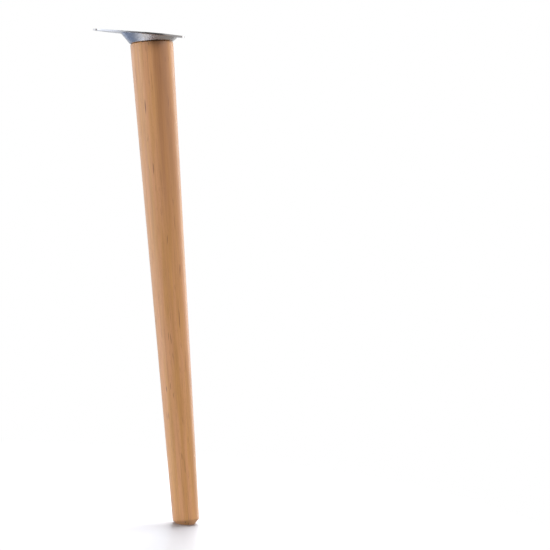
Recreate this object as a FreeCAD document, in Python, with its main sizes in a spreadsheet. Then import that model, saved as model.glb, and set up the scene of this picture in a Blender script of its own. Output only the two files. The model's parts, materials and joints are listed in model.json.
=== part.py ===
"""Tapered, splayed wooden furniture leg with its pressed steel mounting plate.

Millimetres, +Z up, in the position in which it is used. The origin is the middle of the plate's
top face, which lies against the furniture. The leg runs down and outward, towards +X.
"""
import FreeCAD, Part
import os

import Sketcher
from FreeCAD import Placement, Rotation, Vector

DOCUMENT_NAME = "TaperedLeg"
STEP_FOLDER = "parts"
UPRIGHT = Vector(0, 0, 1)
TILT_AXIS = Vector(0, 1, 0)
START_TILT = 1.0
AXIS_INDEX = {"level": -1, "upright": -2}
POINT_INDEX = {"start": 1, "end": 2, "centre": 3}
TOUCH = 1e-6
FULL_TURN = 360.0
ROUND = "PartDesign::Fillet"
BEVEL = "PartDesign::Chamfer"
EDGE_SIZE = {ROUND: "Radius", BEVEL: "Size"}
SOCKET_CORNER_ANGLES = range(0, 360, 60)

# Name, value in millimetres or degrees, and what it measures.
SIZES = [
    ("overall_height", 450.0, "floor to the plate's top face"),
    ("splay_angle", 10.0, "lean of the leg's axis from upright"),
    ("top_diameter", 40.0, "wood, at its upper end"),
    ("foot_diameter", 24.5, "wood, where the foot's chamfer starts"),
    ("top_edge_radius", 1.5, "rounding of the wood's upper edge"),
    ("chamfer_height", 3.5, "upper edge of the foot's chamfer over the foot face, along the axis"),
    ("chamfer_reach", 6.0, "width of the turned chamfer before the foot face cuts it off"),
    ("plate_thickness", 1.5, "steel sheet"),
    ("plate_corner_radius", 16.0, "corners of the plate's outline"),
    ("inner_flange", 24.1, "from the pocket's mouth to the plate's end on the side away from the foot"),
    ("outer_flange", 1.9, "from the pocket's mouth to the plate's end on the foot's side"),
    ("side_flange", 2.5, "from the pocket's mouth to the plate's long sides"),
    ("pocket_depth", 7.5, "plate's top face down to the middle of the pocket's floor"),
    ("pocket_wall_angle", 45.0, "slope of the pocket's wall from the plate"),
    ("wood_overhang", 0.1, "how far the wood stands out past the corner of the pocket's floor and wall"),
    ("floor_bend_radius", 1.0, "inside radius of the bend round the pocket's floor"),
    ("mouth_bend_radius", 1.0, "inside radius of the bend round the pocket's mouth"),
    ("mount_hole_inset", 7.2, "middle of each screw hole from the plate's two nearest sides"),
    ("mount_hole_diameter", 4.0, "screw holes for the furniture"),
    ("screw_diameter", 6.0, "shank of the screw between the plate and the wood"),
    ("screw_length", 50.0, "below its head"),
    ("screw_tip_length", 7.0, "pointed end"),
    ("head_diameter", 13.0, "screw head"),
    ("head_height", 3.6, "screw head"),
    ("head_bevel", 0.8, "upper edge of the screw head"),
    ("socket_across_flats", 4.0, "hexagon socket in the head"),
    ("socket_depth", 2.2, "hexagon socket in the head"),
    ("screw_clearance", 0.3, "all round the shank, in the pocket's floor"),
    ("bore_past_tip", 4.0, "pilot bore in the wood, beyond the screw's tip"),
]

# Lengths that follow from the sizes, as the sheet's expressions
SIN_SPLAY = "sin(Sizes.splay_angle)"
COS_SPLAY = "cos(Sizes.splay_angle)"
WALL_RUN = "(1 / tan(Sizes.pocket_wall_angle))"
SHEET_GROWTH = "(Sizes.plate_thickness * tan(Sizes.pocket_wall_angle / 2))"
WOOD_TOP_DEPTH = f"(Sizes.pocket_depth + Sizes.plate_thickness * {COS_SPLAY})"
WOOD_LENGTH = f"((Sizes.overall_height - {WOOD_TOP_DEPTH}) / {COS_SPLAY})"
CHAMFER_START = f"({WOOD_LENGTH} - Sizes.chamfer_height)"
CHAMFER_END = f"({CHAMFER_START} + Sizes.chamfer_reach)"
FLOOR_RADIUS = f"(Sizes.top_diameter / 2 - Sizes.wood_overhang - {SHEET_GROWTH})"
MOUTH_RADIUS = f"({FLOOR_RADIUS} * {COS_SPLAY} + Sizes.pocket_depth * {WALL_RUN})"
MOUTH_X = "((Sizes.inner_flange - Sizes.outer_flange) / 2)"
FLOOR_X = f"({MOUTH_X} + {FLOOR_RADIUS} * {SIN_SPLAY} * {WALL_RUN})"
WOOD_TOP_X = f"({FLOOR_X} + Sizes.plate_thickness * {SIN_SPLAY})"
CONE_DROP = f"(Sizes.pocket_depth + Sizes.top_diameter / 2 * {SIN_SPLAY} + Sizes.plate_thickness)"
HALF_LENGTH = f"({MOUTH_RADIUS} + (Sizes.inner_flange + Sizes.outer_flange) / 2)"
HALF_WIDTH = f"({MOUTH_RADIUS} + Sizes.side_flange)"
HOLE_X = f"({HALF_LENGTH} - Sizes.mount_hole_inset)"
HOLE_Y = f"({HALF_WIDTH} - Sizes.mount_hole_inset)"
SEAT_BEVEL = "((Sizes.floor_bend_radius + Sizes.plate_thickness) * tan(Sizes.pocket_wall_angle / 2))"
SHANK_RADIUS = "(Sizes.screw_diameter / 2)"
BORE_DEPTH = "(Sizes.screw_length - Sizes.plate_thickness + Sizes.bore_past_tip)"
SOCKET_CORNER = "(Sizes.socket_across_flats / 2 / cos(30))"


def make_sheet(doc):
    """Puts the driving sizes in a spreadsheet, each under its own alias."""
    sheet = doc.addObject("Spreadsheet::Sheet", "Sizes")
    for row, (name, value, note) in enumerate(SIZES, start=1):
        sheet.set(f"A{row}", name)
        sheet.set(f"B{row}", str(value))
        sheet.setAlias(f"B{row}", name)
        sheet.set(f"C{row}", note)
    doc.recompute()
    return sheet


def value_of(body, expression):
    """The present value of a sheet expression, in millimetres or degrees."""
    result = body.evalExpression(expression)
    return float(getattr(result, "Value", result))


def new_body(doc, name):
    body = doc.addObject("PartDesign::Body", name)
    body.Label = name
    return body


def lean_with_leg(body, x_expression, depth_expression):
    """Stands a body on the leg's axis: its own Z runs up the leg, its origin at the given point."""
    body.Placement = Placement(Vector(), Rotation(TILT_AXIS, START_TILT))
    body.setExpression("Placement.Base.x", x_expression)
    body.setExpression("Placement.Base.z", f"-{depth_expression}")
    body.setExpression("Placement.Rotation.Angle", "-Sizes.splay_angle")


def new_sketch(body, name, role, **offsets):
    """A sketch on one of the body's origin planes, moved off it by the expressions x, z and tilt."""
    sketch = body.newObject("Sketcher::SketchObject", name)
    plane = next(feature for feature in body.Origin.OriginFeatures if feature.Role == role)
    sketch.AttachmentSupport = (plane, [""])
    sketch.MapMode = "FlatFace"
    sketch.AttachmentOffset = Placement(Vector(), Rotation(TILT_AXIS, START_TILT if "tilt" in offsets else 0))
    paths = {"x": "Base.x", "z": "Base.z", "tilt": "Rotation.Angle"}
    for axis, expression in offsets.items():
        sketch.setExpression(f"AttachmentOffset.{paths[axis]}", expression)
    return sketch


def dimension(sketch, kind, elements, expression, value):
    """Adds a dimension to a sketch and ties it to the sheet."""
    index = sketch.addConstraint(Sketcher.Constraint(kind, *elements, value))
    sketch.setExpression(f"Constraints[{index}]", expression)


def pin_point(body, sketch, point, x_expression, y_expression):
    """Dimensions a point from the sketch's origin; None puts it on that axis."""
    for kind, expression, axis in (
        ("DistanceX", x_expression, AXIS_INDEX["upright"]),
        ("DistanceY", y_expression, AXIS_INDEX["level"]),
    ):
        if expression is None:
            sketch.addConstraint(Sketcher.Constraint("PointOnObject", *point, axis))
        else:
            dimension(sketch, kind, (AXIS_INDEX["level"], POINT_INDEX["start"], *point), expression, value_of(body, expression))


def add_circle(body, sketch, radius_expression, x_expression=None, y_expression=None):
    """A circle, pinned at its middle and dimensioned."""
    middle = [0 if e is None else value_of(body, e) for e in (x_expression, y_expression)]
    radius = value_of(body, radius_expression)
    circle = sketch.addGeometry(Part.Circle(Vector(*middle, 0), UPRIGHT, radius), False)
    pin_point(body, sketch, (circle, POINT_INDEX["centre"]), x_expression, y_expression)
    dimension(sketch, "Radius", (circle,), radius_expression, radius)


def add_outline(body, sketch, corners):
    """A closed outline of straight lines through corners given as pairs of expressions."""
    points = [[0 if e is None else value_of(body, e) for e in corner] for corner in corners]
    lines = []
    for start, end in zip(points, points[1:] + points[:1]):
        lines.append(sketch.addGeometry(Part.LineSegment(Vector(*start, 0), Vector(*end, 0)), False))
    for line, following in zip(lines, lines[1:] + lines[:1]):
        sketch.addConstraint(Sketcher.Constraint("Coincident", line, POINT_INDEX["end"], following, POINT_INDEX["start"]))
    for line, corner in zip(lines, corners):
        pin_point(body, sketch, (line, POINT_INDEX["start"]), *corner)


def turn(body, kind, name, corners, **offsets):
    """Turns a half section, as pairs of radius and height, about the body's own Z axis or one beside it."""
    sketch = new_sketch(body, name + "Section", "XZ_Plane", **offsets)
    add_outline(body, sketch, corners)
    feature = body.newObject(kind, name)
    feature.Profile = sketch
    feature.ReferenceAxis = (sketch, ["V_Axis"])
    feature.Angle = FULL_TURN


def cut_below(body, name, sketch):
    """Cuts away everything under the sketch's outline."""
    pocket = body.newObject("PartDesign::Pocket", name)
    pocket.Profile = sketch
    pocket.Type = "ThroughAll"


def dress(doc, body, kind, name, size_expression, wanted):
    """Rounds or bevels the edges of the body's present shape that the test picks."""
    doc.recompute()
    base = body.Tip
    names = [f"Edge{number}" for number, edge in enumerate(base.Shape.Edges, start=1) if wanted(edge)]
    feature = body.newObject(kind, name)
    feature.Base = (base, names)
    feature.setExpression(EDGE_SIZE[kind], size_expression)
    doc.recompute()


def is_ring(edge, height, play=TOUCH):
    """Whether an edge is a full circle or ellipse with its middle at this height, within the play."""
    round_curve = isinstance(edge.Curve, (Part.Circle, Part.Ellipse))
    return round_curve and edge.isClosed() and abs(edge.Curve.Center.z - height) < play


def is_upright(edge):
    return len(edge.Vertexes) == 2 and abs(abs(edge.tangentAt(edge.FirstParameter).z) - 1) < TOUCH


def make_wooden_leg(doc):
    """The turned leg: long taper, rounded upper edge, turned chamfer and level foot face."""
    body = new_body(doc, "wooden_leg")
    lean_with_leg(body, WOOD_TOP_X, WOOD_TOP_DEPTH)
    turn(body, "PartDesign::Revolution", "Taper", [
        (None, None),
        ("Sizes.top_diameter / 2", None),
        ("Sizes.foot_diameter / 2", f"-{CHAMFER_START}"),
        ("Sizes.foot_diameter / 2 - Sizes.chamfer_reach", f"-{CHAMFER_END}"),
        (None, f"-{CHAMFER_END}"),
    ])
    dress(doc, body, ROUND, "TopEdge", "Sizes.top_edge_radius", lambda edge: is_ring(edge, 0))
    foot = new_sketch(body, "FootPlane", "XY_Plane", z=f"-{WOOD_LENGTH}", tilt="Sizes.splay_angle")
    add_circle(body, foot, "Sizes.foot_diameter")
    cut_below(body, "FootFace", foot)
    turn(body, "PartDesign::Groove", "PilotBore", [
        (None, None),
        (SHANK_RADIUS, None),
        (SHANK_RADIUS, f"-{BORE_DEPTH}"),
        (None, f"-({BORE_DEPTH} + {SHANK_RADIUS})"),
    ])
    return body


def make_mounting_plate(doc):
    """The pressed plate: flat sheet, slanted round pocket with a sloping wall, and its screw holes."""
    body = new_body(doc, "mounting_plate")
    outline = new_sketch(body, "Outline", "XY_Plane")
    add_outline(body, outline, [
        ("-" + HALF_LENGTH, "-" + HALF_WIDTH),
        (HALF_LENGTH, "-" + HALF_WIDTH),
        (HALF_LENGTH, HALF_WIDTH),
        ("-" + HALF_LENGTH, HALF_WIDTH),
    ])
    flat_sheet = body.newObject("PartDesign::Pad", "FlatSheet")
    flat_sheet.Profile = outline
    flat_sheet.Reversed = True
    flat_sheet.setExpression("Length", "Sizes.plate_thickness")
    dress(doc, body, ROUND, "Corners", "Sizes.plate_corner_radius", is_upright)

    add_dish(body, "Outside", SHEET_GROWTH, "-Sizes.plate_thickness", WOOD_TOP_X, "-" + WOOD_TOP_DEPTH)
    hollow = new_body(doc, "pocket_hollow")
    add_dish(hollow, "Inside", "0", "0", FLOOR_X, "-Sizes.pocket_depth")
    opened = body.newObject("PartDesign::Boolean", "OpenedPocket")
    opened.Type = "Cut"
    opened.setObjects([hollow])
    round_bends(doc, body)

    screw_hole = new_sketch(body, "ScrewHoleCircle", "XY_Plane",
                            x=FLOOR_X, z="-Sizes.pocket_depth", tilt="-Sizes.splay_angle")
    add_circle(body, screw_hole, f"({SHANK_RADIUS} + Sizes.screw_clearance)")
    cut_below(body, "ScrewHole", screw_hole)

    mount_holes = new_sketch(body, "MountHoleCircles", "XY_Plane")
    for x_sign in ("", "-"):
        for y_sign in ("", "-"):
            add_circle(body, mount_holes, "Sizes.mount_hole_diameter / 2", x_sign + HOLE_X, y_sign + HOLE_Y)
    cut_below(body, "MountHoles", mount_holes)
    return body


def add_dish(body, name, growth, mouth_z, floor_x, floor_z):
    """A cone that narrows downwards from a level mouth to a floor square to the leg."""
    mouth_radius = f"({MOUTH_RADIUS} + {growth})"
    tip_radius = f"({mouth_radius} - {CONE_DROP} * {WALL_RUN})"
    tip_z = f"({mouth_z} - {CONE_DROP})"
    turn(body, "PartDesign::Revolution", name + "Cone", [
        (None, tip_z),
        (tip_radius, tip_z),
        (mouth_radius, mouth_z),
        (None, mouth_z),
    ], x=MOUTH_X)
    floor = new_sketch(body, name + "FloorPlane", "XY_Plane", x=floor_x, z=floor_z, tilt="-Sizes.splay_angle")
    add_circle(body, floor, "Sizes.top_diameter")
    cut_below(body, name + "Floor", floor)


def round_bends(doc, body):
    """Shapes the sheet's bends: the inside radius on one face, that and the sheet's thickness on the other.

    The wood hides the outside of the pocket's lowest bend, so a bevel as wide as the round takes its place.
    """
    play = value_of(body, "Sizes.plate_thickness") / 4
    for kind, name, height_expression, size_expression in (
        (ROUND, "FloorBendInside", "-Sizes.pocket_depth", "Sizes.floor_bend_radius"),
        (BEVEL, "FloorBendOutside", "-" + WOOD_TOP_DEPTH, SEAT_BEVEL),
        (ROUND, "MouthBendInside", "0", "Sizes.mouth_bend_radius + Sizes.plate_thickness"),
        (ROUND, "MouthBendOutside", "-Sizes.plate_thickness", "Sizes.mouth_bend_radius"),
    ):
        height = value_of(body, height_expression)
        dress(doc, body, kind, name, size_expression, lambda edge, level=height: is_ring(edge, level, play))


def make_plate_screw(doc):
    """The screw down through the pocket's floor into the wood, with a bevelled head and a hexagon socket."""
    body = new_body(doc, "plate_screw")
    lean_with_leg(body, FLOOR_X, "Sizes.pocket_depth")
    turn(body, "PartDesign::Revolution", "HeadAndShank", [
        (None, "-Sizes.screw_length"),
        (SHANK_RADIUS, "-(Sizes.screw_length - Sizes.screw_tip_length)"),
        (SHANK_RADIUS, None),
        ("Sizes.head_diameter / 2", None),
        ("Sizes.head_diameter / 2", "Sizes.head_height"),
        (None, "Sizes.head_height"),
    ])
    head_height = value_of(body, "Sizes.head_height")
    dress(doc, body, BEVEL, "HeadBevel", "Sizes.head_bevel", lambda edge: is_ring(edge, head_height))
    socket = new_sketch(body, "SocketOutline", "XY_Plane", z="Sizes.head_height")
    add_outline(body, socket, [
        (f"({SOCKET_CORNER} * cos({angle}))", f"({SOCKET_CORNER} * sin({angle}))")
        for angle in SOCKET_CORNER_ANGLES
    ])
    hexagon = body.newObject("PartDesign::Pocket", "Socket")
    hexagon.Profile = socket
    hexagon.setExpression("Length", "Sizes.socket_depth")
    return body


def check(doc, bodies):
    """Stops if any feature failed or any body is missing, invalid or in pieces."""
    for item in doc.Objects:
        if "Invalid" in item.State or "Error" in item.State:
            raise RuntimeError(f"{item.Name} failed: {item.State}")
    for body in bodies:
        shape = body.Shape
        if shape.isNull() or not shape.isValid() or len(shape.Solids) != 1:
            raise RuntimeError(f"{body.Label} is not one valid solid")


def check_cuts_removed_material(bodies):
    """Stops if a pocket or groove left the volume as it was, which means that it pointed away."""
    for body in bodies:
        for feature in body.Group:
            cuts = feature.TypeId in ("PartDesign::Pocket", "PartDesign::Groove", "PartDesign::SubtractiveLoft")
            if cuts and feature.Shape.Volume >= feature.BaseFeature.Shape.Volume - TOUCH:
                raise RuntimeError(f"{feature.Name} cut nothing from {body.Label}")


doc = FreeCAD.newDocument(DOCUMENT_NAME)
make_sheet(doc)
bodies = [make_wooden_leg(doc), make_mounting_plate(doc), make_plate_screw(doc)]
doc.recompute()
check(doc, bodies)
check_cuts_removed_material(bodies)
os.makedirs(STEP_FOLDER, exist_ok=True)
for body in bodies:
    body.Shape.exportStep(f"{STEP_FOLDER}/{body.Label}.step")
    print(f"{body.Label}: {body.Shape.Volume:.1f} mm3")
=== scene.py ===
"""Looks of the tapered furniture leg: turned beech, a zinc plated plate and screw, a pale studio floor."""
import json
import math

import bmesh
import bpy
from mathutils import Matrix, Vector


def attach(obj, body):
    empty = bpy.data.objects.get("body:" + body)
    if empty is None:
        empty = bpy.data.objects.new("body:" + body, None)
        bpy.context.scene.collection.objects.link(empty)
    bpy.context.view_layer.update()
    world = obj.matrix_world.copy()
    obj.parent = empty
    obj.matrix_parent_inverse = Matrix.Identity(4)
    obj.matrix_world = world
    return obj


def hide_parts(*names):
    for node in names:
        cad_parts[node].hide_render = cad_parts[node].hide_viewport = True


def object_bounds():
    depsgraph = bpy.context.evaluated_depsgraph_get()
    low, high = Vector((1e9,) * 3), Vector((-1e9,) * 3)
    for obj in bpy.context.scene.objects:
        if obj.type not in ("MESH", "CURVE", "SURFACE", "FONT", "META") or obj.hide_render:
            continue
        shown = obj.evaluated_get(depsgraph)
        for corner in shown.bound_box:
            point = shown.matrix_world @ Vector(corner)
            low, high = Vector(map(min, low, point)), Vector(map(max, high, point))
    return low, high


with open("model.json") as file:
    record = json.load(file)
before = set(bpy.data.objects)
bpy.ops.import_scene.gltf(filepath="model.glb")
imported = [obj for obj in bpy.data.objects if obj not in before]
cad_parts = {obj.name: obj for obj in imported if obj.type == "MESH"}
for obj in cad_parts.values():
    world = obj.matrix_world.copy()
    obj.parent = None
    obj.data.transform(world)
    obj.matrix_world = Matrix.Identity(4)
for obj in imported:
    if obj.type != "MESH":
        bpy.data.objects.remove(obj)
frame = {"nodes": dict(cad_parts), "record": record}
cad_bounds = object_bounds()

MM = 0.001
TOUCH = 1e-6
BODY = "root"
FULL_TURN = 2 * math.pi

# Sizes of the turned wood, in metres
SPLAY = math.radians(10.0)
TOP_DEPTH = 8.977 * MM
TOP_RADIUS = 20 * MM
FOOT_RADIUS = 12.25 * MM
TOP_ROUNDING = 1.5 * MM
CHAMFER_ANGLE = math.pi / 4
CHAMFER_HEIGHT = 3.5 * MM
CHAMFER_REACH = 6 * MM
CHAMFER_ROUNDING = 3 * MM
BORE_RADIUS = 3 * MM
BORE_DEPTH = 52.5 * MM
FOOT_SOFTNESS = 0.5 * MM

# Fineness of the turned wood's mesh
SIDES = 192
SHAFT_STEPS = 90
ARC_STEPS = 8
EDGE_STEPS = 3
SHARP_ANGLE = math.radians(30)

# Camera, measured from the photograph
CAMERA_PLACE = (1.152599, -1.901019, -0.058832)
CAMERA_RIGHT = Vector((0.88147453, 0.4650599, 0.08198744))
CAMERA_UP = Vector((-0.10536603, 0.02445076, 0.99413287))
CAMERA_BACK = Vector((0.46032668, -0.8849415, 0.07055424))
SENSOR_WIDTH = 36.0
LENS = 154.87
NEAREST_SEEN = 0.01
FARTHEST_SEEN = 50.0

# Studio directions, seen from the camera
ACROSS = Vector((0.8847, 0.4662, 0.0))
TOWARDS = Vector((0.4662, -0.8847, 0.0))
UPWARDS = Vector((0.0, 0.0, 1.0))

# Places that the frame gives
MOUNTS = {mount["name"]: mount for mount in frame["record"]["mounts"]}
FOOT_FACE = Vector(MOUNTS["foot_face"]["pos_m"])
LEG_AXIS = Vector((-math.sin(SPLAY), 0.0, math.cos(SPLAY)))
LEG_LENGTH = (-TOP_DEPTH - FOOT_FACE.z) / math.cos(SPLAY)
WOOD_TOP = FOOT_FACE + LEG_AXIS * LEG_LENGTH
OBJECT_MIDDLE = (cad_bounds[0] + cad_bounds[1]) / 2

# Sockets of the node that mixes two colours
MIX_AMOUNT = 0
FIRST_COLOUR = 6
SECOND_COLOUR = 7
MIXED_COLOUR = 2

# The range that holds nearly all values of a noise
NOISE_RANGE = (0.3, 0.7)

# Tints of the beech, in linear light
PINK_WOOD = (0.640, 0.318, 0.150, 1.0)
GOLDEN_WOOD = (0.590, 0.300, 0.098, 1.0)
DARK_WOOD = (0.455, 0.210, 0.080, 1.0)
DARKEST_WOOD = (0.280, 0.120, 0.045, 1.0)
FLECK_BROWN = (0.300, 0.135, 0.060, 1.0)
STREAK_BROWN = (0.200, 0.085, 0.038, 1.0)

# Noises in the beech: grain size in millimetres, twice across the leg and once along it, and settings
BEECH_NOISES = {
    "zones": ((26, 26, 420), {"detail": 2.0}),
    "tints": ((6, 6, 110), {"detail": 2.0}),
    "layers": ((3.4, 9, 240), {"detail": 3.0, "distortion": 0.5}),
    "fibres": ((1.0, 1.0, 34), {"detail": 4.0, "roughness": 0.65}),
    "flecks": ((0.5, 0.5, 3.0), {"detail": 1.0}),
    "lines": ((1.0, 1.0, 24), {"detail": 3.0, "distortion": 0.6}),
    "streaks": ((1.8, 1.8, 22), {"detail": 1.0}),
}

# Figure under and over the dark band: noise, its values where the tint starts and is full, shares, tint
BROAD_FIGURE = [
    ("tints", (0.40, 0.60), (0.0, 1.0), GOLDEN_WOOD),
    ("zones", (0.34, 0.70), (0.1, 0.60), DARK_WOOD),
]
FINE_FIGURE = [
    ("layers", (0.42, 0.68), (0.0, 0.55), DARK_WOOD),
    ("fibres", (0.40, 0.70), (0.0, 0.28), DARKEST_WOOD),
    ("flecks", (0.64, 0.72), (0.0, 0.30), FLECK_BROWN),
    ("lines", (0.62, 0.71), (0.0, 0.60), FLECK_BROWN),
    ("streaks", (0.70, 0.76), (0.0, 0.80), STREAK_BROWN),
]

# The darker band right of the leg's middle in the camera's view, strongest at the top, in metres across the
# leg and down it, and how far its edge wanders
BAND_START = (-2 * MM, 3 * MM)
BAND_END = (18 * MM, 12 * MM)
BAND_DEPTH = (-230 * MM, -40 * MM)
BAND_WANDER = (-1.5 * MM, 1.5 * MM)
WANDER_GRAIN = (12, 12, 90)

# Surface of the oiled beech
PITTED_FLECKS = (0.55, 0.75)
PIT_HEIGHT = (0.0, -0.8)
BEECH_RELIEF = {"Strength": 0.35, "Distance": 0.03 * MM}
BEECH_ROUGHNESS = (0.42, 0.55)
BEECH_GLOSS = {"Specular IOR Level": 0.4, "Coat Weight": 0.15, "Coat Roughness": 0.35}

# Plating of each steel node: material name, roughness, cooler tint, warmer tint, tint of the cut edges
# (darker partly for the edges' duller steel and partly as painted shade)
PLATING = {
    "mounting_plate": (
        "zinc_sheet", 0.28, (0.53, 0.56, 0.61, 1.0), (0.56, 0.545, 0.515, 1.0), (0.30, 0.285, 0.28, 1.0)),
    "plate_screw": (
        "zinc_screw", 0.20, (0.66, 0.68, 0.72, 1.0), (0.76, 0.74, 0.68, 1.0), (0.5, 0.5, 0.5, 1.0)),
}

# Surface of the zinc plating, with grain sizes in millimetres
CLOUD_GRAIN = (9, 9, 9)
SPECK_GRAIN = (1.2, 1.2, 1.2)
ROLLED_GRAIN = (14, 0.35, 0.35)
CLOUD_HAZE = (-0.05, 0.06)
ROLLED_HAZE = (-0.02, 0.02)
ZINC_RELIEF = {"Strength": 0.02, "Distance": 0.01 * MM}
CUT_EDGE_TILT = (0.35, 0.1)
CUT_EDGE_ROUGHNESS = 0.08

# The floor sheet. Each pair of lengths is where a change starts and ends, by distance from a middle.
FLOOR_RADIUS = 0.60
FLOOR_SIDES = 96
FLOOR_GAP = 0.02 * MM
FLOOR_GLOSS = 0.12
GLOSS_TINT = (0.9, 0.9, 0.9, 1.0)
GLOSS_ROUGHNESS = (0.10, 0.14)
HAZE_GRAIN = (40, 40, 40)
# Share of white glow in the floor that light rays meet: painted bounce light on the leg's lower end
FLOOR_BOUNCE_GLOW = 0.42
FLOOR_MELT = (0.08, 0.42)
FLOOR_MIDDLE = (0.21, 0.23)
GLOW_REACH = (0.06, 0.24)
GLOW_SHIFT = 0.08

# What the studio shows to light and reflections, in linear light
WHITE = (1.0, 1.0, 1.0, 1.0)
WHITE_WALL = (0.85, 0.85, 0.85, 1.0)
DARK_FRONT = (0.25, 0.25, 0.25, 1.0)
COOL_GROUND = (0.27, 0.32, 0.45, 1.0)
PALE_GROUND = (0.38, 0.35, 0.33, 1.0)
CEILING = (0.45, 0.45, 0.45, 1.0)
PALE_FLOOR = (0.30, 0.30, 0.30, 1.0)
WHITE_FLOOR = (0.60, 0.60, 0.635, 1.0)

# Where the studio's sides turn into each other, as parts of a direction of length one
FRONT_FADE = (-0.1, 0.5)
GROUND_TURN = (-0.1, 0.3)
FLOOR_FADE = (-0.05, -0.5)
CEILING_FADE = (0.5, 0.8)

# Lamps: degrees right of the camera, height, distance, the lamp's width and length, watts, colour
COOL_LIGHT = (0.78, 0.87, 1.0)
PLAIN_LIGHT = (1.0, 1.0, 1.0)
OBJECT_LAMPS = {
    "left_strip": (-76.8, 0.10, 1.5, (0.9, 1.2), 12.0, COOL_LIGHT),
    "left_rim": (-128, 0.0, 1.5, (0.9, 1.2), 5.0, COOL_LIGHT),
    "right_rim": (138, 0.2, 1.5, (0.5, 1.6), 10.0, PLAIN_LIGHT),
    "upper_left": (-32, 1.3, 1.3, (1.2, 1.0), 19.0, PLAIN_LIGHT),
    "upper_right": (74, 1.3, 1.3, (1.2, 1.0), 24.0, PLAIN_LIGHT),
}
FLOOR_LAMPS = {
    "back_left": (-171, 1.3, 1.2, (0.45, 0.45), 24.0, PLAIN_LIGHT),
    "back_right": (160, 1.3, 1.2, (1.4, 1.4), 68.0, PLAIN_LIGHT),
}


def make_camera():
    data = bpy.data.cameras.new("camera")
    data.sensor_width = SENSOR_WIDTH
    data.lens = LENS
    data.clip_start = NEAREST_SEEN
    data.clip_end = FARTHEST_SEEN
    camera = bpy.data.objects.new("camera", data)
    turn = Matrix((CAMERA_RIGHT, CAMERA_UP, CAMERA_BACK)).transposed()
    camera.matrix_world = Matrix.Translation(CAMERA_PLACE) @ turn.to_4x4()
    bpy.context.scene.collection.objects.link(camera)
    bpy.context.scene.camera = camera


class Nodes:
    """Short calls for building one node tree."""

    def __init__(self, tree):
        self.tree = tree
        tree.nodes.clear()

    def add(self, kind, inputs=None, **settings):
        """Adds a node. An input is a value or the output socket of another node."""
        node = self.tree.nodes.new(kind)
        for name, value in settings.items():
            setattr(node, name, value)
        for key, value in (inputs or {}).items():
            if isinstance(value, bpy.types.NodeSocket):
                self.tree.links.new(value, node.inputs[key])
            else:
                node.inputs[key].default_value = value
        return node

    def noise(self, place, size, detail=3.0, roughness=0.5, distortion=0.0):
        """Noise whose grain has the given size in millimetres along x, y and z."""
        scaled = self.add("ShaderNodeMapping", {
            "Vector": place,
            "Scale": tuple(1 / (length * MM) for length in size),
        })
        return self.add("ShaderNodeTexNoise", {
            "Vector": scaled.outputs["Vector"],
            "Scale": 1.0,
            "Detail": detail,
            "Roughness": roughness,
            "Distortion": distortion,
        }).outputs["Fac"]

    def spread(self, value, low, high, to_low=0.0, to_high=1.0):
        """Stretches a range of values over another, and clamps it there."""
        return self.add("ShaderNodeMapRange", {
            "Value": value, "From Min": low, "From Max": high, "To Min": to_low, "To Max": to_high,
        }).outputs["Result"]

    def blend(self, amount, first, second):
        """Blends two colours."""
        return self.add("ShaderNodeMix", {
            MIX_AMOUNT: amount, FIRST_COLOUR: first, SECOND_COLOUR: second,
        }, data_type="RGBA").outputs[MIXED_COLOUR]

    def mix(self, amount, first, second):
        """Mixes two shaders."""
        return self.add("ShaderNodeMixShader", {0: amount, 1: first, 2: second}).outputs[0]

    def sum(self, *values, operation="ADD"):
        """Adds up values, or joins them by another operation."""
        total = values[0]
        for value in values[1:]:
            total = self.add("ShaderNodeMath", {0: total, 1: value}, operation=operation).outputs[0]
        return total

    def measure(self, operation, first, second):
        """A number from two vectors: their DISTANCE, or their DOT_PRODUCT."""
        return self.add("ShaderNodeVectorMath", {0: first, 1: second}, operation=operation).outputs["Value"]

    def height(self, vector):
        return self.add("ShaderNodeSeparateXYZ", {0: vector}).outputs["Z"]


def new_material(name):
    material = bpy.data.materials.new(name)
    material.use_nodes = True
    return material, Nodes(material.node_tree)


def make_beech():
    """Oiled beech: pink and golden wood, darker zones, a darker band on one side, growth layers and fine
    fibres.

    Short flecks, dark lines and a few darker streaks lie over them.
    """
    material, nodes = new_material("beech")
    upright = nodes.add("ShaderNodeTexCoord").outputs["Object"]
    from_top = nodes.add("ShaderNodeVectorMath", {0: upright, 1: WOOD_TOP}, operation="SUBTRACT")
    place = nodes.add("ShaderNodeVectorRotate", {
        "Vector": from_top.outputs["Vector"],
        "Angle": SPLAY,
    }, rotation_type="Y_AXIS").outputs["Vector"]
    noises = {name: nodes.noise(place, size, **rest) for name, (size, rest) in BEECH_NOISES.items()}

    tone = add_figure(nodes, noises, PINK_WOOD, BROAD_FIGURE)
    # a darker band right of the leg's middle in the camera's view, strongest at the top
    tone = nodes.blend(dark_side_band(nodes, place), tone, DARKEST_WOOD)
    tone = add_figure(nodes, noises, tone, FINE_FIGURE)

    pits = nodes.spread(noises["flecks"], *PITTED_FLECKS, *PIT_HEIGHT)
    relief = nodes.sum(nodes.spread(noises["fibres"], *NOISE_RANGE), pits)
    bump = nodes.add("ShaderNodeBump", {"Height": relief, **BEECH_RELIEF})
    shader = nodes.add("ShaderNodeBsdfPrincipled", {
        "Base Color": tone,
        "Roughness": nodes.spread(noises["fibres"], *NOISE_RANGE, *BEECH_ROUGHNESS),
        "Normal": bump.outputs["Normal"],
        **BEECH_GLOSS,
    })
    nodes.add("ShaderNodeOutputMaterial", {"Surface": shader.outputs["BSDF"]})
    return material


def add_figure(nodes, noises, tone, figure):
    """Lays tints over a tone, each where its noise is high."""
    for name, values, shares, tint in figure:
        tone = nodes.blend(nodes.spread(noises[name], *values, *shares), tone, tint)
    return tone


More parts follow.
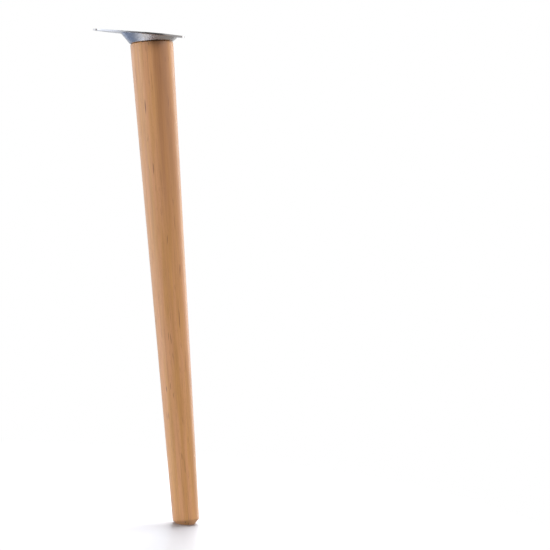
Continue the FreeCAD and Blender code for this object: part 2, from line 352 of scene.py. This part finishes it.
def dark_side_band(nodes, place):
    """How far the wood turns to the darkest tint, in a band on one side of the leg that is strongest at its
    top.
    """
    wander = nodes.spread(nodes.noise(place, WANDER_GRAIN), *NOISE_RANGE, *BAND_WANDER)
    across = nodes.sum(nodes.measure("DOT_PRODUCT", place, ACROSS), wander)
    near_side = nodes.spread(across, *BAND_START)
    far_side = nodes.spread(across, *BAND_END)
    strength = nodes.spread(nodes.height(place), *BAND_DEPTH)
    return nodes.sum(near_side, far_side, strength, operation="MULTIPLY")


def make_zinc(name, roughness, cool, warm, edge_and_shade_tint):
    """Zinc plating: mirror-like but hazy, mottled between two tints, and sharper on cut edges, whose darker
    tint is partly their own duller steel and partly painted shade.
    """
    material, nodes = new_material(name)
    coordinates = nodes.add("ShaderNodeTexCoord")
    place = coordinates.outputs["Object"]
    facing = nodes.height(coordinates.outputs["Normal"])
    level = nodes.add("ShaderNodeMath", {0: facing}, operation="ABSOLUTE").outputs[0]
    cut_edge = nodes.spread(level, *CUT_EDGE_TILT)
    clouds = nodes.noise(place, CLOUD_GRAIN)
    specks = nodes.noise(place, SPECK_GRAIN, detail=1.0)
    rolled = nodes.noise(place, ROLLED_GRAIN)
    cloud_haze = nodes.spread(clouds, *NOISE_RANGE, *(roughness + change for change in CLOUD_HAZE))
    haze = nodes.sum(cloud_haze, nodes.spread(rolled, *NOISE_RANGE, *ROLLED_HAZE))
    mottled = nodes.blend(nodes.spread(clouds, *NOISE_RANGE), cool, warm)
    bump = nodes.add("ShaderNodeBump", {"Height": nodes.sum(specks, rolled), **ZINC_RELIEF})
    shader = nodes.add("ShaderNodeBsdfPrincipled", {
        # cut edges take a darker tint: partly the edges' own duller steel, partly painted shade
        "Base Color": nodes.blend(cut_edge, mottled, edge_and_shade_tint),
        "Metallic": 1.0,
        "Roughness": nodes.spread(cut_edge, 0.0, 1.0, haze, CUT_EDGE_ROUGHNESS),
        "Normal": bump.outputs["Normal"],
    })
    nodes.add("ShaderNodeOutputMaterial", {"Surface": shader.outputs["BSDF"]})
    return material


def arc(centre_radius, centre_height, radius, start, end):
    """Points of a profile's round stretch, from one angle above the level to another."""
    angles = [start + (end - start) * step / ARC_STEPS for step in range(ARC_STEPS + 1)]
    return [(centre_radius + radius * math.cos(a), centre_height + radius * math.sin(a)) for a in angles]


def turned_profile():
    """Radius and height of the turned wood's outline, from the bore's end up, over the top and down."""
    chamfer_start = LEG_LENGTH - CHAMFER_HEIGHT
    taper = math.atan2(TOP_RADIUS - FOOT_RADIUS, chamfer_start)
    setback = CHAMFER_ROUNDING * math.tan((CHAMFER_ANGLE - taper) / 2)
    start = (FOOT_RADIUS + setback * math.sin(taper), -chamfer_start + setback * math.cos(taper))
    middle = (start[0] - CHAMFER_ROUNDING * math.cos(taper), start[1] + CHAMFER_ROUNDING * math.sin(taper))
    profile = [(0.0, -BORE_DEPTH - BORE_RADIUS), (BORE_RADIUS, -BORE_DEPTH), (BORE_RADIUS, 0.0)]
    profile += arc(TOP_RADIUS - TOP_ROUNDING, -TOP_ROUNDING, TOP_ROUNDING, math.pi / 2, 0.0)
    top = profile[-1]
    for step in range(1, SHAFT_STEPS):
        share = step / SHAFT_STEPS
        profile.append((top[0] + (start[0] - top[0]) * share, top[1] + (start[1] - top[1]) * share))
    profile += arc(*middle, CHAMFER_ROUNDING, -taper, -CHAMFER_ANGLE)
    profile.append((FOOT_RADIUS - CHAMFER_REACH, -chamfer_start - CHAMFER_REACH))
    profile.append((0.0, -chamfer_start - CHAMFER_REACH))
    return profile


def make_wood(material):
    """The turned leg: spun on its own axis, leaned, and cut level at the foot."""
    mesh = bmesh.new()
    points = [mesh.verts.new((radius, 0.0, height)) for radius, height in turned_profile()]
    outline = [mesh.edges.new(pair) for pair in zip(points, points[1:])]
    bmesh.ops.spin(mesh, geom=points + outline, cent=(0, 0, 0), axis=(0, 0, 1), angle=FULL_TURN,
                   steps=SIDES, use_merge=True)
    bmesh.ops.remove_doubles(mesh, verts=mesh.verts, dist=TOUCH)
    lean = Matrix.Translation(WOOD_TOP) @ Matrix.Rotation(-SPLAY, 4, "Y")
    bmesh.ops.transform(mesh, verts=mesh.verts, matrix=lean)
    cut = bmesh.ops.bisect_plane(mesh, geom=mesh.verts[:] + mesh.edges[:] + mesh.faces[:], dist=TOUCH,
                                 plane_co=FOOT_FACE, plane_no=(0, 0, -1), clear_outer=True)
    rim = [item for item in cut["geom_cut"] if isinstance(item, bmesh.types.BMEdge)]
    bmesh.ops.edgeloop_fill(mesh, edges=rim)
    bmesh.ops.recalc_face_normals(mesh, faces=mesh.faces)
    wood = add_piece("turned_wood", mesh, material)
    soften(wood, FOOT_SOFTNESS)
    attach(wood, BODY)
    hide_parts("wooden_leg")


def add_piece(name, mesh, material):
    """Turns a built mesh into an object of the scene."""
    data = bpy.data.meshes.new(name)
    mesh.to_mesh(data)
    mesh.free()
    data.shade_smooth()
    data.materials.append(material)
    piece = bpy.data.objects.new(name, data)
    bpy.context.scene.collection.objects.link(piece)
    return piece


def soften(piece, width):
    """Breaks the sharp edges of a piece and keeps its flat faces flat."""
    bevel = piece.modifiers.new("soft_edges", "BEVEL")
    bevel.width = width
    bevel.segments = EDGE_STEPS
    bevel.limit_method = "ANGLE"
    bevel.angle_limit = SHARP_ANGLE
    bevel.harden_normals = True


def finish_node(name, material):
    """Gives a node of the frame one material all over."""
    node = frame["nodes"][name]
    node.data.materials.clear()
    node.data.materials.append(material)


def make_floor():
    """A round pale sheet with a faint gloss, level under the foot and not seen from below.

    The camera sees it melt into the white backdrop. Stray light meets only its middle, which partly glows
    white as painted bounce light, and mirrors and glass only a patch that lies left of the middle.
    """
    centre = Vector((OBJECT_MIDDLE.x, OBJECT_MIDDLE.y, FOOT_FACE.z - FLOOR_GAP))
    mesh = bmesh.new()
    bmesh.ops.create_circle(mesh, cap_ends=True, segments=FLOOR_SIDES, radius=FLOOR_RADIUS,
                            matrix=Matrix.Translation(centre))
    material, nodes = new_material("pale_floor")
    place = nodes.add("ShaderNodeTexCoord").outputs["Object"]
    ray = nodes.add("ShaderNodeLightPath").outputs
    mirrored = nodes.sum(ray["Is Glossy Ray"], ray["Is Transmission Ray"])
    shown = nodes.sum(ray["Is Camera Ray"], mirrored)
    below = nodes.add("ShaderNodeNewGeometry").outputs["Backfacing"]
    from_middle = nodes.measure("DISTANCE", place, centre)
    from_glow = nodes.measure("DISTANCE", place, centre - ACROSS * GLOW_SHIFT)
    haze = nodes.noise(place, HAZE_GRAIN, detail=2.0)

    colour = nodes.blend(shown, PALE_FLOOR, WHITE_FLOOR)
    matt = nodes.add("ShaderNodeBsdfDiffuse", {"Color": colour}).outputs[0]
    gloss = nodes.add("ShaderNodeBsdfGlossy", {
        "Color": GLOSS_TINT,
        "Roughness": nodes.spread(haze, *NOISE_RANGE, *GLOSS_ROUGHNESS),
    }).outputs[0]
    clear = nodes.add("ShaderNodeBsdfTransparent").outputs[0]
    white = nodes.add("ShaderNodeEmission", {"Color": WHITE, "Strength": 1.0}).outputs[0]
    sheet = nodes.mix(FLOOR_GLOSS, matt, gloss)
    for_view = nodes.mix(nodes.spread(from_middle, *FLOOR_MELT), sheet, white)
    for_mirrors = nodes.mix(nodes.spread(from_glow, *GLOW_REACH), sheet, clear)
    # painted bounce light: the floor's middle glows white to light rays
    bounce_glow = nodes.mix(FLOOR_BOUNCE_GLOW, sheet, white)
    for_light = nodes.mix(nodes.spread(from_middle, *FLOOR_MIDDLE), bounce_glow, clear)
    for_rest = nodes.mix(mirrored, for_light, for_mirrors)
    surface = nodes.mix(below, nodes.mix(ray["Is Camera Ray"], for_rest, for_view), clear)
    nodes.add("ShaderNodeOutputMaterial", {"Surface": surface})
    floor = add_piece("floor", mesh, material)
    return floor


def make_lamp(name, angle, height, distance, size, power, tint):
    """A rectangular softbox that faces the object's middle, at an angle right of the camera's direction."""
    data = bpy.data.lights.new(name, "AREA")
    data.shape = "RECTANGLE"
    data.size, data.size_y = size
    data.energy = power
    data.color = tint
    lamp = bpy.data.objects.new(name, data)
    turn = math.radians(angle)
    level = ACROSS * math.sin(turn) + TOWARDS * math.cos(turn)
    lamp.location = OBJECT_MIDDLE + level * distance + UPWARDS * height
    aim = OBJECT_MIDDLE - lamp.location
    lamp.rotation_euler = aim.to_track_quat("-Z", "Y").to_euler()
    bpy.context.scene.collection.objects.link(lamp)
    return lamp


def make_lamps(lamps, piece, state):
    """Makes lamps that reach only this piece (INCLUDE), or everything but this piece (EXCLUDE)."""
    reached = bpy.data.collections.new(f"{piece.name}_{state.lower()}")
    reached.objects.link(piece)
    reached.collection_objects[0].light_linking.link_state = state
    for name, settings in lamps.items():
        make_lamp(name, *settings).light_linking.receiver_collection = reached


def make_surroundings():
    """White seen behind the object. Light and reflections meet a pale room instead.

    It is darker in front and overhead, and grey below, cooler on the left. Mirrors see its walls pure white.
    """
    world = bpy.data.worlds.new("studio")
    world.use_nodes = True
    nodes = Nodes(world.node_tree)
    direction = nodes.add("ShaderNodeTexCoord").outputs["Generated"]
    frontness = nodes.measure("DOT_PRODUCT", direction, TOWARDS)
    sideness = nodes.measure("DOT_PRODUCT", direction, ACROSS)
    height = nodes.height(direction)
    ray = nodes.add("ShaderNodeLightPath").outputs
    mirrored = nodes.sum(ray["Is Glossy Ray"], ray["Is Transmission Ray"])
    wall = nodes.blend(mirrored, WHITE_WALL, WHITE)
    ground = nodes.blend(nodes.spread(sideness, *GROUND_TURN), COOL_GROUND, PALE_GROUND)
    room = nodes.blend(nodes.spread(frontness, *FRONT_FADE), wall, DARK_FRONT)
    room = nodes.blend(nodes.spread(height, *FLOOR_FADE), room, ground)
    room = nodes.blend(nodes.spread(height, *CEILING_FADE), room, CEILING)
    lit = nodes.add("ShaderNodeBackground", {"Color": room, "Strength": 1.0}).outputs[0]
    backdrop = nodes.add("ShaderNodeBackground", {"Color": WHITE, "Strength": 1.0}).outputs[0]
    surface = nodes.mix(ray["Is Camera Ray"], lit, backdrop)
    nodes.add("ShaderNodeOutputWorld", {"Surface": surface})
    bpy.context.scene.world = world


make_wood(make_beech())
for node_name, plating in PLATING.items():
    finish_node(node_name, make_zinc(*plating))
floor = make_floor()
make_lamps(OBJECT_LAMPS, floor, "EXCLUDE")
make_lamps(FLOOR_LAMPS, floor, "INCLUDE")
make_surroundings()
make_camera()
bpy.context.scene.view_settings.view_transform = "Standard"
